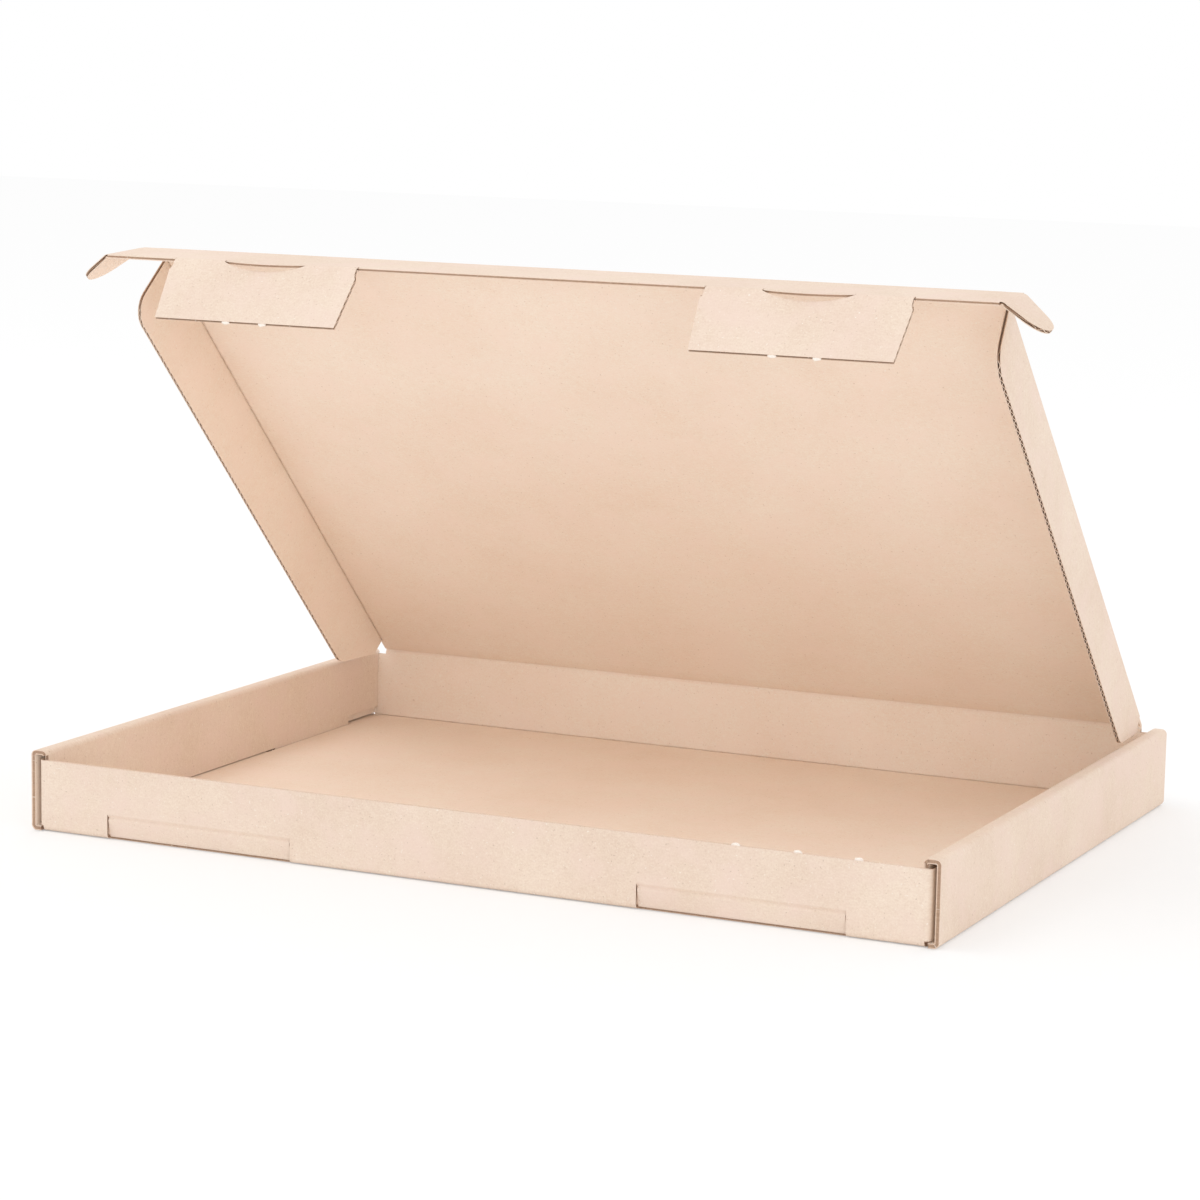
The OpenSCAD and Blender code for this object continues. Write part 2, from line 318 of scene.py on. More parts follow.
def fold(pieces, axis, line, side, angle, z=0.0, press=CRUSH):
    """Crush and fold boards at a crease. The side, 1 or -1, is where the moving part lies."""
    for piece in pieces:
        edit(piece)
        mesh = bmesh.from_edit_mesh(piece.data)
        layer = mesh.verts.layers.float_vector["sheet"]
        column = 1 if axis == "X" else 0
        shares = [round(share(side * (v[layer][column] / MM - line)), 4) for v in mesh.verts]
        for part in sorted(set(shares) - {0.0}):
            bpy.ops.mesh.select_all(action="DESELECT")
            mesh = bmesh.from_edit_mesh(piece.data)
            for vertex, its in zip(mesh.verts, shares):
                vertex.select_set(its == part)
            mesh.select_flush_mode()
            if part < 1:
                bpy.ops.transform.resize(value=(1, 1, 1 - press * math.sin(math.pi * part)),
                                         center_override=(0, 0, (z + CRUSH_TO) * MM))
            turn(angle * part, axis, **{"xy"[column]: line, "z": z})
        leave()


def crease_lines(line, rows=8):
    """The lines inside and at the ends of a crease."""
    return [line - CREASE + 2 * CREASE * k / rows for k in range(rows + 1)]


# %% [markdown]
# Shader maths is easier to read as sums than as boxes and wires. A wire stands for
# one output of a node, and a plus, minus or times sign adds the Math node that
# does it, also where a plain number comes first. Every other node comes from one
# helper, which takes the node's type, its settings and its sockets.

# %% A wire for shader maths
class Wire:
    """One output of a node."""

    def __init__(self, tree, socket):
        self.tree, self.socket = tree, socket

    def math(self, operation, *values):
        return node(self.tree, "ShaderNodeMath", {"operation": operation}, dict(enumerate(values)))

    def __add__(self, other):
        return self.math("ADD", self, other)

    def __sub__(self, other):
        return self.math("SUBTRACT", self, other)

    def __rsub__(self, other):
        return self.math("SUBTRACT", other, self)

    def __mul__(self, other):
        return self.math("MULTIPLY", self, other)

    __radd__, __rmul__ = __add__, __mul__


def node(tree, kind, settings=None, sockets=None, out=0):
    """Add a node: its settings first, then the values or wires of its sockets."""
    made = tree.nodes.new(kind)
    for name, value in (settings or {}).items():
        setattr(made, name, value)
    for name, value in (sockets or {}).items():
        if isinstance(value, Wire):
            tree.links.new(value.socket, made.inputs[name])
        else:
            made.inputs[name].default_value = value
    return Wire(tree, made.outputs[out]) if made.outputs else None


# %% [markdown]
# A material is a small tree of nodes. Its colours are written as on a screen, from
# 0 to 255, because that is how they are read off a real sheet of paper, and then
# turned into the linear values that Blender reckons with. They are blended by Mix
# nodes, because a Math node would turn them grey.

# %% Helpers for materials and colours
def new_material(name):
    """A material with an empty node tree."""
    material = bpy.data.materials.new(name)
    material.use_nodes = True
    material.node_tree.nodes.clear()
    return material, material.node_tree


def surface(tree, shader):
    """Lead a shader to the surface of the material."""
    node(tree, "ShaderNodeOutputMaterial", None, {"Surface": shader})


def linear(*rgb):
    """Screen colour, 0 to 255, as the linear values that Blender wants."""
    shares = (value / 255 for value in rgb)
    return tuple(c / 12.92 if c <= 0.04045 else ((c + 0.055) / 1.055) ** 2.4 for c in shares)


def mix(tree, factor, a, b):
    """Blend two colours."""
    a, b = ((*c, 1) if isinstance(c, tuple) else c for c in (a, b))
    return node(tree, "ShaderNodeMix", {"data_type": "RGBA"}, {0: factor, 6: a, 7: b}, out=2)


# %% [markdown]
# Brown liner is made of long wood fibres, so it is never one flat colour: it has
# cloudy patches, fine light and dark hairs, dark specks and pale flecks. Behind
# the liner the flutes show as faint parallel lines, called washboarding. A painted
# picture of paper could show all this, but it would blur close up and repeat over
# a large box. Noise does neither: three scales of it give the clouds and the
# grain, the hairs are noise stretched along one way, and the lines are a sine
# across the flutes that feeds the bump. A noise of scale 26 has clouds about 4 cm
# wide, and one of scale 1500 has grains of under a millimetre.

# %% Kraft paper
PALE_FLECK = linear(255, 250, 243)


def kraft(name, pale, brown, pink, speck, shift):
    """Liner paper: two tones of kraft with a blush, hairs, specks and washboard lines."""
    material, tree = new_material(name)
    place = node(tree, "ShaderNodeAttribute", {"attribute_name": "sheet"}, out=1)
    spot = node(tree, "ShaderNodeMapping", None,
                {"Vector": place, "Location": (shift, 2 * shift, shift)})

    def noise(scale, detail, stretch=(1, 1, 1), angle=0.0):
        there = node(tree, "ShaderNodeMapping", None,
                     {"Vector": spot, "Rotation": (0, 0, math.radians(angle)), "Scale": stretch})
        return node(tree, "ShaderNodeTexNoise", None,
                    {"Vector": there, "Scale": scale, "Detail": detail})

    def spread(value, low, high, first, last):
        """Stretch what lies between low and high to run from first to last."""
        return node(tree, "ShaderNodeMapRange", None,
                    {"Value": value, "From Min": low, "From Max": high,
                     "To Min": first, "To Max": last})

    clouds = noise(26, 3)
    mottle = noise(430, 3)
    grain = noise(1500, 3)
    hairs = noise(1300, 1, (0.4, 1, 1), 31)
    cross = noise(1300, 1, (0.4, 1, 1), -52)
    tone = clouds * 0.7 + mottle * 0.4 + grain * 0.9 + hairs * 0.25 + cross * 0.25
    colour = mix(tree, spread(tone, 0.93, 1.57, 0.0, 1.0), brown, pale)
    colour = mix(tree, spread(noise(75, 2), 0.4, 0.7, 0.0, 0.6), colour, pink)
    dots = noise(1100, 1)
    for level, most, fleck in ((dots, 0.4, speck), (1 - dots, 0.5, PALE_FLECK)):
        colour = mix(tree, spread(level, 0.7, 0.78, 0.0, most), colour, fleck)
    along = node(tree, "ShaderNodeSeparateXYZ", None, {"Vector": place}, out=1)
    wave = along * (2 * math.pi / (PITCH * MM))
    height = wave.math("SINE", wave) * 0.35 + mottle * 0.5 + hairs * 0.3
    bump = node(tree, "ShaderNodeBump", None,
                {"Strength": 0.2, "Distance": 0.0001, "Height": height})
    shader = node(tree, "ShaderNodeBsdfPrincipled", None,
                  {"Base Color": colour, "Roughness": spread(mottle, 0.3, 0.7, 0.82, 0.95),
                   "Specular IOR Level": 0.2, "Normal": bump})
    surface(tree, shader)
    return material


# %% [markdown]
# The same paper looks different by where it lies. The outside is the plain liner,
# and the inside is the same kraft painted paler, as painted light that makes up
# for the shade inside the box. A cut edge shows paper end on, the core behind it
# is painted darker as painted shade in its hollows, and torn fibre is nearly
# white. One recipe makes all five, each with its own colours and its own part of
# the noise.

# %% The five papers
OUTSIDE, INSIDE, EDGE, CORE = range(4)
kraft_outside = kraft("kraft_outside", linear(241, 224, 207), linear(226, 203, 184),
                      linear(237, 214, 201), linear(170, 140, 116), 0.1)
# The inside is the same kraft as the outside, painted paler as painted light that makes up for the
# shade inside the box.
kraft_inside_painted_light = kraft("kraft_inside_painted_light", linear(252, 239, 224), linear(245, 223, 204),
                     linear(251, 231, 216), linear(190, 158, 130), 0.7)
cut_edge = kraft("cut_edge", linear(241, 221, 202), linear(224, 199, 177),
                 linear(236, 211, 194), linear(176, 146, 122), 1.3)
# The core is painted darker than the liners, as painted shade in the hollows behind the cut edges.
shaded_flute_core = kraft("shaded_flute_core", linear(190, 160, 136), linear(154, 125, 103),
                   linear(178, 146, 127), linear(100, 77, 62), 1.9)
torn_fibre = kraft("torn_fibre", linear(253, 247, 240), linear(246, 234, 222),
                   linear(250, 240, 232), linear(225, 205, 186), 2.3)
FINISHES = (kraft_outside, kraft_inside_painted_light, cut_edge, shaded_flute_core)
print("papers:", ", ".join(paper.name for paper in (*FINISHES, torn_fibre)))


# %% [markdown]
# A board has a smooth skin round its bends and sharp cut edges, so only faces that
# meet at less than 35 degrees are shaded as one. A finished board then stands for
# its CAD node, which stays in the simulation, unseen.

# %% Helpers to coat and to finish a piece
SMOOTH_BELOW = 35


def coat(piece):
    """Give a board its four papers."""
    for material in FINISHES:
        piece.data.materials.append(material)


def finish(piece, *nodes):
    """Smooth the bends, and let the piece stand for its CAD nodes."""
    choose(piece)
    bpy.ops.object.shade_smooth_by_angle(angle=math.radians(SMOOTH_BELOW))
    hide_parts(*nodes)
    told(piece)


# %% [markdown]
# The tray is the bottom panel with its four walls. In the flat sheet the side
# walls reach far out, because each rolls over: outer panel, narrow roof, inner
# panel, and tongues that lock into holes in the bottom. The front and back walls
# have long ears that hide inside those rolled walls. Walls could be set on a
# bottom one by one, but here everything is drawn as lines on one big sheet, and
# the parts that the die throws away are taken out, so the folds come out as on the
# real box. The widths of the outer panel and the roof are measured between the
# middles of the board. A height z on a wall lies at Z_TO_Y + z on the sheet.

# %% Lines of the flat tray
TRAY_X, TRAY_Y = 175.0, 125.0
LID_X = 165.0
OUTER_H, ROOF_W, INNER_H, NOTCH_H = 28.0, 4.85, 26.85, 3.0
LOCK_L, LOCK_Y0, LOCK_Y1 = 1.7, 38.0, 98.0
HOLE_X0, HOLE_X1, HOLE_Y0, HOLE_Y1 = 168.45, 170.35, 31.5, 98.5
HIDDEN_X, HIDDEN_L = 171.0, 79.25
FRONT_H, SHOULDER_H, HINGE_Z = 26.1, 27.6, 30.0
X_BOTTOM = TRAY_X - HALF - SETBACK
X_ROOF = X_BOTTOM + BEND + OUTER_H - 2 * SETBACK
X_INNER = X_ROOF + BEND + ROOF_W - 2 * SETBACK
X_PANEL = X_INNER + BEND
X_FOOT = X_PANEL + INNER_H - SETBACK
X_LOCK = X_FOOT + LOCK_L
X_NOTCH = X_FOOT - NOTCH_H
X_EAR = HIDDEN_X - SETBACK
X_EAR_END = X_EAR + BEND + HIDDEN_L - SETBACK
X_CORNER = 171.1
Y_WALL = TRAY_Y - HALF - SETBACK
Y_EAR = 125.1
Y_PANEL = 123.4
Z_TO_Y = Y_WALL + BEND - BEND_R
Y_FRONT_TOP = Z_TO_Y + FRONT_H
Y_BACK_TOP = Z_TO_Y + HINGE_Z - CREASE
Y_SHOULDER = Z_TO_Y + SHOULDER_H
print("half of the flat tray is", round(X_LOCK, 2), "mm wide")

# %% [markdown]
# Two push-in strips are cut in the foot of the front wall. Each hangs from its
# upper crease, and the slot behind it ends in a thin lip of the bottom panel, so
# the sheet gets lines for the strips and for the lips too.

# %% Lines of the strips and the lips
STRIP_X0, STRIP_X1 = 67.0, 142.6
STRIP_LOW, STRIP_TOP = 0.8, 8.0
Y_STRIP = Z_TO_Y + STRIP_TOP + CREASE
Y_LIP, LIP_SLOPE = 121.0, 0.6
print("strips are", round(STRIP_X1 - STRIP_X0, 2), "mm wide")

# %% Cut the flat tray
tray = start("tray_board")
sheet(-X_EAR_END, X_EAR_END, -Y_FRONT_TOP, Y_BACK_TOP, z=HALF)
across = [STRIP_X0, STRIP_X0 + KERF, STRIP_X1 - KERF, STRIP_X1, LID_X, HOLE_X0, HOLE_X1,
          X_CORNER, X_NOTCH, X_FOOT, X_LOCK]
for bend in (X_EAR, X_BOTTOM, X_ROOF, X_INNER):
    across += rows_from(bend)
lines_x(mirrored(across))
lines_y(mirrored([HOLE_Y0, LOCK_Y0, LOCK_Y1, HOLE_Y1, Y_PANEL, TRAY_Y, Y_EAR]
                 + rows_from(Y_WALL)))
lines_y([-Y_LIP, -Y_LIP - LIP_SLOPE, -Y_STRIP, Y_SHOULDER])


def waste(x, y, z):
    """True where the die throws the board away."""
    a, b = abs(x), abs(y)
    if a > X_LOCK:
        return b < Y_EAR or y > Y_SHOULDER
    if b > Y_WALL and (a < X_EAR or b > Y_EAR):
        if y < 0:
            return STRIP_X0 < a < STRIP_X1 and b < Y_STRIP
        return b > Y_SHOULDER and a > LID_X
    if b > Y_WALL and a < X_CORNER or b > TRAY_Y:
        return True
    if a < X_BOTTOM:
        return HOLE_X0 < a < HOLE_X1 and HOLE_Y0 < b < HOLE_Y1
    if a > X_FOOT:
        return not LOCK_Y0 < b < LOCK_Y1
    return a > X_PANEL and b > Y_PANEL or a > X_NOTCH and b > LOCK_Y1


drop(waste)
leave()
mark(tray)
told(tray)

# %% [markdown]
# The tray is folded from its far ends inwards, as the bends further in carry the
# ones further out: the hidden ears first, then inner panel, roof and outer panel,
# and the front and back walls last. Solidify then gives the thickness. It counts
# up the material of the far side by one and of the cut edges by two, which tells
# the inside, the outside and the edges from each other.

# %% Fold the tray
edit(tray)
for side in (1, -1):
    roll("Y", X_EAR, side, lambda x, y: abs(y) > Y_EAR - TINY)
    for place in (X_INNER, X_ROOF, X_BOTTOM):
        roll("Y", place, side, lambda x, y: abs(y) < TRAY_Y + TINY)
for side in (1, -1):
    roll("X", Y_WALL, side, lambda x, y: abs(x) < X_EAR + TINY or abs(y) > Y_EAR - TINY)
leave()
coat(tray)
thicken(tray, BOARD, (1, 2))
for face in tray.data.polygons:
    face.material_index = (INSIDE, OUTSIDE, EDGE)[face.material_index]
edit(tray)
groove(lambda x, y, z: abs(y + Y_STRIP) < TINY or abs(y - Y_BACK_TOP) < TINY, on_sheet=True)
leave()
told(tray)

# %% [markdown]
# Where the blade and the creasing rule press hard, the board stays crushed. Under
# each push-in strip the edge of the bottom is only a thin lip, and along the foot
# of the back wall the inner paper is pressed into a narrow valley, which draws the
# dark line there. Both are made by moving a few rows of the folded mesh, because
# the rows are already there.

# %% Crush the lips and the foot of the back wall
LIP_CRUSH = 0.4
VALLEY = 0.45
VALLEY_X, VALLEY_REACH, VALLEY_TOP = 168.6, 0.29, 1.85


def on_lip(x, y, z):
    """True on the bottom's edge under a strip."""
    return (STRIP_X0 + TINY < abs(x) < STRIP_X1 - TINY and z < BOARD + TINY
            and -Y_WALL - NEAR < y < -Y_LIP - LIP_SLOPE + TINY)


def in_valley(x, y, z):
    """True on the inner paper where the bend of the back wall begins."""
    return (abs(x) < VALLEY_X and -TINY < y - Y_WALL < VALLEY_REACH
            and BOARD + TINY < z < VALLEY_TOP)


edit(tray)
lip_count = pick(on_lip)
bpy.ops.transform.resize(value=(1, 1, LIP_CRUSH), center_override=(0, 0, 0))
valley_count = pick(in_valley)
move(y=VALLEY, z=-VALLEY)
leave()
print("moved", lip_count, "vertices of the lips and", valley_count, "of the valley")
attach(tray, "tray")
finish(tray, "tray")

# %% [markdown]
# The lid, its front flap, the two side flaps, the ears and the tabs are the rest
# of the same sheet. They lie flat here with the hinge along the x axis and the
# outside up. The lid and the front flap are solid board, and the front flap's cut
# edges have a groove between the liners. The flaps whose ends cut across the
# flutes are made of the three papers, because there the waves can be seen.

# %% Lines of the flat lid
FLAP_H = 26.1
LID_Y = -250.3
FLAP_Y = LID_Y - FLAP_H
EAR_X = 172.65
TAB_X = 104.8
SIDE_Y0, SIDE_Y1 = -7.0, -245.7
print("the front flap ends", round(-FLAP_Y, 2), "mm from the hinge")


# %% Cut the lid
def flat_board(piece, seam=None, top=OUTSIDE, under=INSIDE):
    """Thicken one flat sheet into solid board, and groove its cut edges but the seam."""
    leave()
    coat(piece)
    thicken(piece, BOARD)
    for face in piece.data.polygons:
        up = round(face.normal.z)
        face.material_index = top if up == 1 else under if up == -1 else EDGE
    if seam:
        edit(piece)
        groove(seam)
        leave()
    mark(piece)


lid = start("lid_board")
sheet(-LID_X, LID_X, LID_Y + CREASE, CREASE)
lines_x([-LID_X + CREASE, LID_X - CREASE])
lines_y(crease_lines(0) + [SIDE_Y0 + KERF, SIDE_Y1 - KERF])
drop(lambda x, y, z: abs(x) > LID_X - CREASE and SIDE_Y1 - KERF < y < SIDE_Y0 + KERF)
flat_board(lid)
told(lid)

# %% [markdown]
# At each tab the die cuts a shallow curved tongue into the edge of the front
# flap. When the tab folds in, the tongue stays in line with the flap and covers
# the slot. Its curve could be a boolean cut, but moving the end row of a few
# narrow columns keeps the mesh clean. The blade squeezes the board as it cuts, so
# the free edge is thinner than the flap.

# %% Lines of the front flap
TONGUE_W = 33.0
TONGUE_D = 3.3
TONGUE_GAP = 0.25
TONGUE_R = (TONGUE_W ** 2 / 4 + TONGUE_D ** 2) / (2 * TONGUE_D)
TONGUE_COLUMNS = 16
EDGE_CRUSH = 0.55
FLAP_X = EAR_X - 0.85
FLAP_SHOULDER = 1.0
TAB_ROOM = 37.9
EAR_TOP, EAR_LOW = LID_Y - 2.8, LID_Y - 25.3


def tongue_depth(across, grow=0.0):
    """Depth of the tongue at a distance from its middle."""
    return math.sqrt(max((TONGUE_R + grow) ** 2 - across ** 2, 0)) - TONGUE_R + TONGUE_D


tongue_xs = [TONGUE_W * (k / TONGUE_COLUMNS - 0.5) for k in range(TONGUE_COLUMNS + 1)]
print("the tongues' curve has a radius of", round(TONGUE_R, 1), "mm")

# %% Cut the front flap
front_flap = start("front_flap_board")
sheet(-FLAP_X, FLAP_X, FLAP_Y - TONGUE_D, LID_Y + CREASE)
tongue_end = TONGUE_W / 2 + TONGUE_GAP
tab_lines = tongue_xs + [-tongue_end, tongue_end, -TAB_ROOM, TAB_ROOM]
lines_x([side * TAB_X + place for side in (1, -1) for place in tab_lines])
lines_x(mirrored([LID_X, EAR_X - CREASE]))
lines_y(crease_lines(LID_Y) + [LID_Y - FLAP_SHOULDER, EAR_TOP, EAR_LOW, FLAP_Y + CREASE, FLAP_Y])


def flap_waste(x, y, z):
    """True where the die throws away board around the front flap."""
    a, from_tab = abs(x), abs(abs(x) - TAB_X)
    if a > LID_X and y > LID_Y - FLAP_SHOULDER or a > EAR_X - CREASE and EAR_LOW < y < EAR_TOP:
        return True
    if from_tab < TONGUE_W / 2:
        return False
    return y < FLAP_Y or from_tab < TAB_ROOM and y < FLAP_Y + CREASE


drop(flap_waste)
for place in [x for x in tongue_xs if x >= 0]:
    pick(lambda x, y, z: (abs(abs(abs(x) - TAB_X) - place) < TINY
                          and abs(y - FLAP_Y + TONGUE_D) < TINY))
    move(y=TONGUE_D - tongue_depth(place))
weld()

# %% [markdown]
# The flap is drawn, so it gets its thickness. Its cut edges are grooved, but not
# the seams where it goes on as the lid, an ear or a tab, because there the board
# is whole. At last the free edge is pressed thinner.

# %% Thicken and crush the front flap
def flap_seam(x, y, z):
    """True on the edges where the front flap goes on as another piece."""
    from_tab = abs(abs(x) - TAB_X)
    return (abs(y - LID_Y - CREASE) < TINY or abs(abs(x) - EAR_X + CREASE) < TINY
            or abs(y - FLAP_Y - CREASE) < TINY and TONGUE_W / 2 < from_tab < TAB_ROOM)


flat_board(front_flap, flap_seam)
edit(front_flap)
pick(lambda x, y, z: y < FLAP_Y + NEAR, on_sheet=True)
bpy.ops.transform.resize(value=(1, 1, EDGE_CRUSH), center_override=(0, 0, 0))
leave()
told(front_flap)

# %% [markdown]
# A real cut across the flutes shows three papers: two straight liners, and the
# wavy medium glued between them. A bump could fake the waves, but it has no
# outline, and the hollows would stay flat. So the medium is a grid of narrow rows,
# and each row is lifted by the sine of its place. All three papers are cut by the
# same blades, and one Solidify gives each its quarter of a millimetre.

# %% Helpers for board of three papers
WAVE = HALF - LINER - LINER / 2
END_ON = 0.7
print("the medium swings", WAVE, "mm to each side")


def papers(x0, x1, y0, y1):
    """Lay the medium and the two liners of one board."""
    steps = math.ceil((y1 - y0) / PITCH * WAVE_STEPS)
    first = y1 - steps * PITCH / WAVE_STEPS
    middle = ((x0 + x1) / 2 * MM, (first + y1) / 2 * MM, 0)
    bpy.ops.mesh.primitive_grid_add(x_subdivisions=1, y_subdivisions=steps, size=MM,
                                    location=middle)
    bpy.ops.transform.resize(value=(abs(x1 - x0), y1 - first, 1), center_override=middle)
    for k in range(1, WAVE_STEPS):
        lift = WAVE * math.sin(2 * math.pi * k / WAVE_STEPS)
        pick(lambda x, y, z: round((y1 - y) / PITCH * WAVE_STEPS) % WAVE_STEPS == k)
        move(z=lift)
    everything()
    cut(y=y0, normal=(0, -1), away=True)
    for z in (1, -1):
        sheet(x0, x1, y0, y1, z * (HALF - LINER / 2))


def layered_board(piece):
    """Thicken the three papers, and tell the liners' faces from the core."""
    leave()
    coat(piece)
    thicken(piece, LINER)
    for face in piece.data.polygons:
        z, up = face.center.z / MM, face.normal.z
        if abs(z) < HALF - LINER - TINY:
            # Faces of the medium that are not seen end on take the core paper, painted darker as
            # painted shade in the hollows.
            face.material_index = EDGE if abs(face.normal.x) > END_ON else CORE
        elif abs(z) > HALF - TINY and z * up > 0:
            face.material_index = OUTSIDE if z > 0 else INSIDE
        else:
            face.material_index = EDGE
    mark(piece)


# %% [markdown]
# The side flaps are long strips along the lid. Their rear ends are cut at a slant
# so that they pass the tray's corner, and their front lower corners are rounded
# so that they slip inside the side walls. The rear corner is rounded too, and its
# arc ends where the slant begins.

# %% Cut the side flaps
SIDE_H = 26.2
FRONT_R, REAR_R = 9, 7
REAR_Y, REAR_END = SIDE_Y0 - 21.6, 44.2
SLANT_X = LID_X + 8


def side_flap(name, side):
    """One side flap, flat beside the lid."""
    piece = start(name)
    x0, x1 = side * (LID_X - CREASE), side * (LID_X + SIDE_H)
    papers(min(x0, x1), max(x0, x1), SIDE_Y1, SIDE_Y0)
    front = arc(LID_X + SIDE_H - FRONT_R, SIDE_Y1 + FRONT_R, FRONT_R, -90, 0, 8)
    rear = arc(LID_X + SIDE_H - REAR_R, REAR_Y, REAR_R, 0, REAR_END, 5)
    trim(front + rear[:1], side)
    trim(rear + [(SLANT_X, SIDE_Y0)], side)
    lines_x([side * place for place in crease_lines(LID_X)[1:]])
    layered_board(piece)
    told(piece)
    return piece


left_side = side_flap("left_side_flap_board", -1)
right_side = side_flap("right_side_flap_board", 1)

# %% [markdown]
# An ear sticks out at each end of the front flap, and tucks in behind the outer
# side wall when the box is shut. Its end is round, so it finds its way in. The
# round could be spun, but the blades' short cuts go through all three papers.

# %% Cut the ears
EAR_L, EAR_R = 16.5, 9.0
TIP_Y, TIP_FIRST, TIP_LAST = LID_Y - 15.3, -83, 69


def ear(name, side):
    """One ear, flat beside the front flap."""
    piece = start(name)
    x0, x1 = side * (EAR_X - CREASE), side * (EAR_X + EAR_L)
    papers(min(x0, x1), max(x0, x1), EAR_LOW, EAR_TOP)
    tip = arc(EAR_X + EAR_L - EAR_R, TIP_Y, EAR_R, TIP_FIRST, TIP_LAST, 16)
    trim([(EAR_X, EAR_LOW)] + tip + [(EAR_X, EAR_TOP)], side)
    lines_x([side * place for place in crease_lines(EAR_X)[1:]])
    layered_board(piece)
    told(piece)
    return piece


left_ear = ear("left_ear_board", -1)
right_ear = ear("right_ear_board", 1)

# %% [markdown]
# The tabs go down behind the front wall and out through its slots. They have
# small barbs at the root that hold them, and taper to the tip. The curved cut at
# the fold leaves a crescent-shaped opening where the flap's tongue was. Here the
# curve is cut column by column, and the medium is left out beside it, so that the
# narrow opening stays clean.

# %% Cut the tabs
TAB_L = 25.0
NECK, BARB = 2.85, 4.5
TAB_W, BARB_W, TIP_W = 75.0, 76.6, 73.5


def spare(x, y, z):
    """True beside the neck of a tab, and for the medium round the curved cut."""
    beside = abs(x) > TAB_W / 2 and y > FLAP_Y - NECK
    return beside or abs(x) < tongue_end and y > FLAP_Y - BARB and abs(z) < HALF - LINER


def tab(name, side):
    """One tab, flat below the front flap."""
    piece = start(name)
    wide = BARB_W / 2
    papers(-wide, wide, FLAP_Y - TAB_L, FLAP_Y + CREASE)
    for way in (1, -1):
        trim([(TIP_W / 2, FLAP_Y - TAB_L), (wide, FLAP_Y - BARB)], way)
    lines_x([-TAB_W / 2, TAB_W / 2, -tongue_end, tongue_end])
    lines_y(crease_lines(FLAP_Y)[:-1] + [FLAP_Y - NECK, FLAP_Y - BARB])
    lines_x(tongue_xs)
    drop(spare)
    edges = [-tongue_end] + tongue_xs + [tongue_end]
    for first, last in zip(edges, edges[1:]):
        y0, y1 = (FLAP_Y - tongue_depth(x, TONGUE_GAP) for x in (first, last))
        pick(lambda x, y, z: first < x < last and y > FLAP_Y - BARB, faces=True)
        cut(first, y0, (y0 - y1, last - first))
        drop(lambda x, y, z: (first < x < last
                              and y > y0 + (y1 - y0) * (x - first) / (last - first)))
    for way in (1, -1):
        pick(lambda x, y, z: abs(way * x - wide) < NEAR and abs(y - FLAP_Y + NECK) < TINY)
        move(x=way * (TAB_W / 2 - wide))
    weld()
    everything()
    move(x=side * TAB_X)
    layered_board(piece)
    told(piece)
    return piece


left_tab = tab("left_tab_board", -1)
right_tab = tab("right_tab_board", 1)

# %% [markdown]
# Where the die leaves small bridges that hold the sheet together, the board is
# torn and not cut. A few pale tufts of fibre are left there: three on the top edge
# of the front wall, and two at the tip of each tab. Real tufts are loose hairs,
# but at this size they read as one fluffy lump, so each is a small round mesh,
# pressed flat, and roughened by moving its vertices a little at random.

# %% Make the torn fibres
TUFT_X, TUFT_Y, TUFT_Z = 1.6, 0.55, 0.85
TUFT_ROUGH, TUFT_LIFT = 0.22, 0.1
FRONT_Y = -124.2


def tufts(name, body, places, half_sizes):
    """One piece of tufts at the places, which rides on a body."""
    piece = start(name)
    for seed, place in enumerate(places):
        middle = [c * MM for c in place]
        bpy.ops.mesh.select_all(action="DESELECT")
        bpy.ops.mesh.primitive_ico_sphere_add(subdivisions=3, radius=MM, location=middle)
        bpy.ops.transform.resize(value=half_sizes, center_override=middle)
        bpy.ops.transform.vertex_random(offset=TUFT_ROUGH * MM, uniform=0.0, normal=0.3, seed=seed)
    leave()
    piece.data.materials.append(torn_fibre)
    mark(piece)
    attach(piece, body)
    told(piece)
    return piece


tufts("front_wall_fibres", "tray", [(x, FRONT_Y, FRONT_H) for x in (102.6, 124.8, 146.2)],
      (TUFT_X, TUFT_Y, TUFT_Z))
tip_tufts = []
for name, body, places in (("left_tab_fibres", "left_tab", (-112.2, -97.3)),
                           ("right_tab_fibres", "right_tab", (98.4, 114.5))):
    tips = [(x, FLAP_Y - TAB_L, TUFT_LIFT) for x in places]
    tip_tufts.append(tufts(name, body, tips, (TUFT_X, TUFT_Z, TUFT_Y)))

# %% [markdown]
# Now the flat sheet is folded, from its ends towards the hinge, as a person would
# fold it: ears and tabs first, then the front flap and the side flaps, then the
# lid. Folding the other way round would need every later crease to be found in a
# tilted board. The board standing up from the hinge is the start, and the lid
# leans forward from there by half a right angle.

# %% Fold the lid and its flaps
EAR_FOLD, TAB_FOLD, FRONT_FOLD, SIDE_FOLD, LID_LEAN = 36, 50, 48, 84.5, 45
fold([left_ear], "Y", -EAR_X, -1, -EAR_FOLD)
fold([right_ear], "Y", EAR_X, 1, EAR_FOLD)
fold([left_tab, right_tab] + tip_tufts, "X", FLAP_Y, -1, TAB_FOLD)
front_group = [front_flap, left_ear, right_ear, left_tab, right_tab] + tip_tufts
fold(front_group, "X", LID_Y, -1, FRONT_FOLD)
fold([left_side], "Y", -LID_X, -1, -SIDE_FOLD)
fold([right_side], "Y", LID_X, 1, SIDE_FOLD)
lid_group = [lid, left_side, right_side] + front_group
fold(lid_group, "X", 0, -1, LID_LEAN)
for piece in lid_group:
    edit(piece)
    everything()
    turn(-90, "X")
    move(y=TRAY_Y - HALF, z=HINGE_Z)
    leave()
told(lid)


# %% [markdown]
# A crease belongs to two parts: one end of it stays with the first, and the other
# end swings. Here the middles of both ends of each crease are found where they lie
# now, and the folded piece is baked in place and finished.

# %% Bake and finish the folded pieces
def row_middle(piece, column, place):
    """Middle of a row of the sheet, where it lies now."""
    spots = [v.co for v, s in zip(piece.data.vertices, piece.data.attributes["sheet"].data)
             if abs(s.vector[column] / MM - place) < TINY]
    return sum(spots, Vector()) / len(spots)


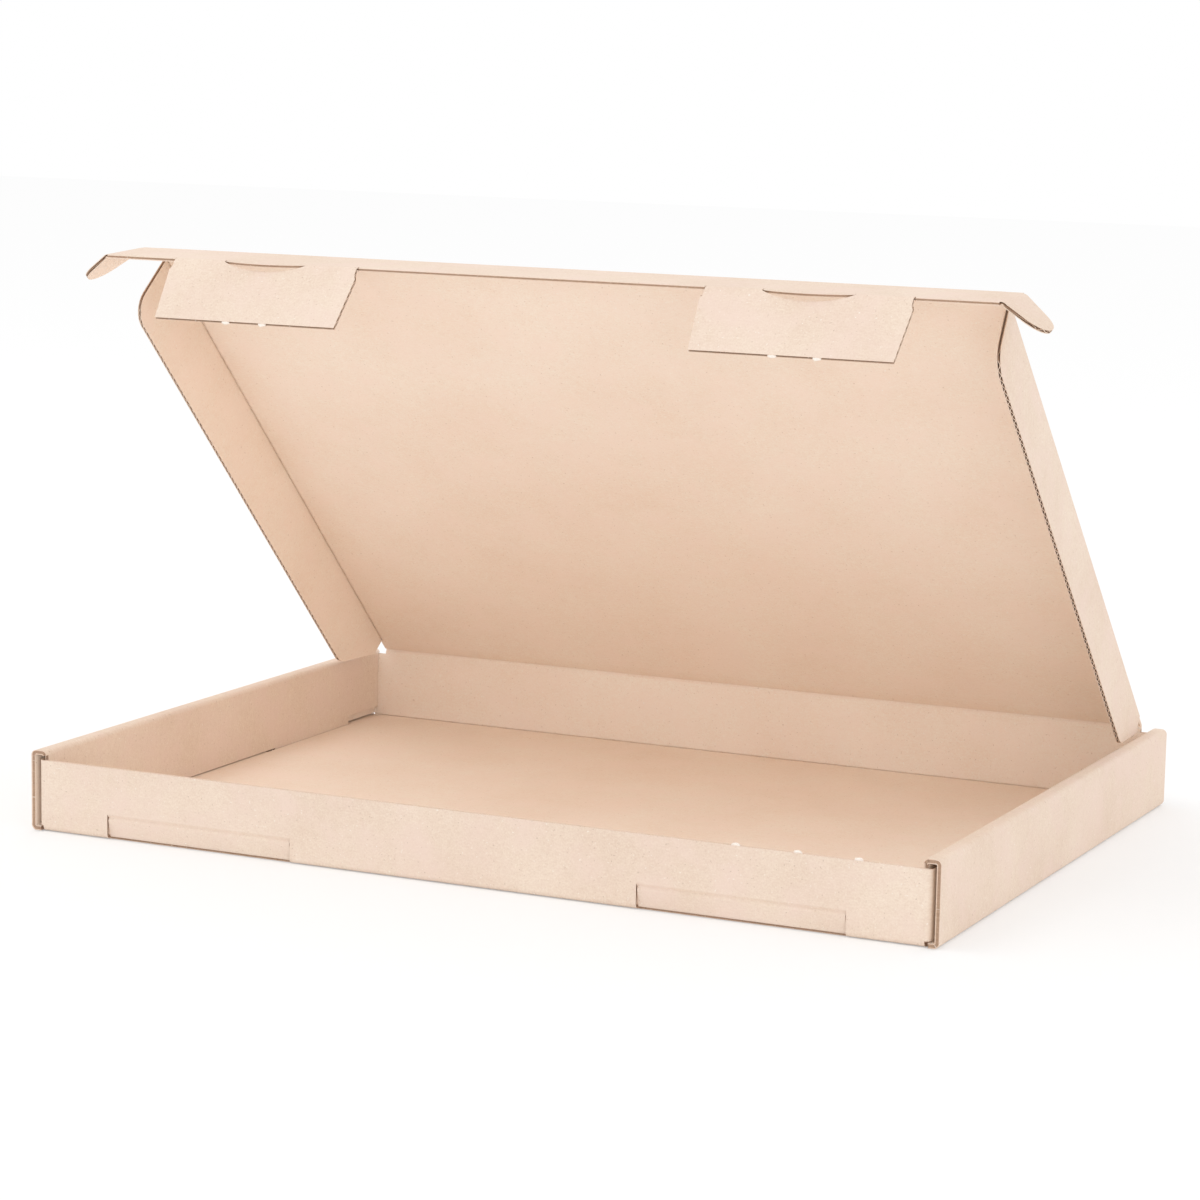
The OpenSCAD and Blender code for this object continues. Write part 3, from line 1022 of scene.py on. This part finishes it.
def hinge(piece, child, column, line, side):
    """Find the middles of both ends of a crease, bake the piece in place, and finish it."""
    first = row_middle(piece, column, line - side * CREASE)
    last = row_middle(piece, column, line + side * CREASE)
    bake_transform(piece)
    finish(piece, child)


hinge(lid, "lid", 1, 0, -1)
hinge(left_side, "left_side_flap", 0, -LID_X, -1)
hinge(right_side, "right_side_flap", 0, LID_X, 1)
hinge(front_flap, "front_flap", 1, LID_Y, -1)
hinge(left_ear, "left_ear", 0, -EAR_X, -1)
hinge(right_ear, "right_ear", 0, EAR_X, 1)
hinge(left_tab, "left_tab", 1, FLAP_Y, -1)
hinge(right_tab, "right_tab", 1, FLAP_Y, -1)

# %% [markdown]
# Below each slot's upper edge a narrow strip of the front wall stays attached. The
# tabs push it in when the box is shut, and it stays a little bent afterwards. It
# could be cut out of the standing wall, but it is drawn in the place that it has
# on the flat tray, so it goes up with the wall by the same turns.

# %% Make the push-in strips
STRIP_FOLD, STRIP_CRUSH, STRIP_ROWS = 12, 0.6, 10


def strip(name, side, node_name):
    """One push-in strip, bent in and standing in the front wall."""
    piece = start(name)
    x0, x1 = sorted((side * STRIP_X0, side * STRIP_X1))
    axis = -(Z_TO_Y + STRIP_TOP)
    sheet(x0, x1, -Y_STRIP, -(Z_TO_Y + STRIP_LOW), z=HALF)
    lines_x([x0 + KERF, x1 - KERF])
    lines_y(crease_lines(axis, STRIP_ROWS)[1:])
    drop(lambda x, y, z: y > axis and not x0 + KERF < x < x1 - KERF)
    flat_board(piece, lambda x, y, z: abs(y + Y_STRIP) < TINY, INSIDE, OUTSIDE)
    fold([piece], "X", axis, 1, STRIP_FOLD, z=HALF, press=STRIP_CRUSH)
    edit(piece)
    everything()
    for line in reversed(rows_from(Y_WALL)):
        turn(-STEP, "X", y=-line, z=HALF)
    leave()
    hinge(piece, node_name, 1, axis, 1)


strip("left_strip_board", -1, "left_strip")
strip("right_strip_board", 1, "right_strip")

# %% [markdown]
# The box stands on a plain white floor. The floor could be lit until it is white,
# but the pale board would then wash out. So it is white paint that also glows a
# little, and only for the camera, in reflections and behind glass. The light on
# the box stays as it is, and the floor keeps the shadow.

# %% Floor
FLOOR_M, FLOOR_Z, GLOW_SHARE = 8, -0.2, 0.3
bpy.ops.mesh.primitive_plane_add(size=FLOOR_M, location=(0, 0, FLOOR_Z * MM))
floor = bpy.context.object
floor.name = "floor"
material, tree = new_material("white_floor")
rays = [node(tree, "ShaderNodeLightPath", out=name) for name in
        ("Is Camera Ray", "Is Glossy Ray", "Is Transmission Ray")]
seen = rays[0] + rays[1] + rays[2]
share_of_glow = seen.math("MINIMUM", seen, 1.0) * GLOW_SHARE
glow = node(tree, "ShaderNodeEmission", None, {"Color": (1, 1, 1, 1), "Strength": 1.0})
paint = node(tree, "ShaderNodeBsdfDiffuse", None, {"Color": (0.97, 0.97, 0.97, 1)})
surface(tree, node(tree, "ShaderNodeMixShader", None, {0: share_of_glow, 1: paint, 2: glow}))
floor.data.materials.append(material)
print("floor", FLOOR_M, "m wide")

# %% [markdown]
# The camera looks at the box from the front, a little from the right and from
# above, with a long lens. Three angles, a point to look at and a distance give its
# place. The focal length is known in pixels of a frame of 1200, and the sensor's
# width turns it into millimetres.

# %% Camera
PITCH_DOWN, ROLL, YAW = 0.160793, 0.018281, 0.440692
AIM, DISTANCE = (-7.2527, 0, 81.5217), 1351.153
SENSOR, FOCAL_PIXELS, FRAME_PIXELS = 36, 3638.054, 1200
back = Vector((math.sin(YAW) * math.cos(PITCH_DOWN), -math.cos(YAW) * math.cos(PITCH_DOWN),
               math.sin(PITCH_DOWN)))
right = (-back).cross(Vector((0, 0, 1))).normalized()
up = right.cross(-back)
level_right = right * math.cos(ROLL) + up * math.sin(ROLL)
level_up = up * math.cos(ROLL) - right * math.sin(ROLL)
bpy.ops.object.camera_add(location=Vector(AIM) * MM + back * DISTANCE * MM)
camera = bpy.context.object
camera.rotation_mode = "QUATERNION"
turned = Matrix((level_right, level_up, back)).transposed()
camera.rotation_quaternion = turned.to_quaternion()
camera.data.sensor_width = SENSOR
camera.data.lens = SENSOR * FOCAL_PIXELS / FRAME_PIXELS
bpy.context.scene.camera = camera
print("lens", round(camera.data.lens, 1), "mm")

# %% [markdown]
# The light is soft, with no strong side: a pale sky all round, one large lamp high
# on the left, a little to the front, and another low at the front right, which
# lights the front wall and reaches under the lid.

# %% Light
world = bpy.data.worlds.new("studio")
bpy.context.scene.world = world
world.use_nodes = True
tree = world.node_tree
tree.nodes.clear()
sky = node(tree, "ShaderNodeBackground", None, {"Color": (1, 1, 1, 1), "Strength": 1.0})
node(tree, "ShaderNodeOutputWorld", None, {"Surface": sky})


def lamp(name, place, aim, size, power):
    """A square soft lamp that looks at a point, in metres and watts."""
    bpy.ops.object.light_add(type="AREA", location=place)
    light = bpy.context.object
    light.name = name
    light.data.size = size
    light.data.energy = power
    light.rotation_mode = "QUATERNION"
    light.rotation_quaternion = (Vector(aim) - Vector(place)).to_track_quat("-Z", "Y")
    print(name, power, "W at", place)


lamp("key_lamp", (-0.9, -0.4, 1.7), (0, 0, 0.0), 1.0, 4)
lamp("front_lamp", (1.7, -1.6, 0.35), (0, 0, 0.1), 1.2, 5)
bpy.context.scene.view_settings.view_transform = "Standard"
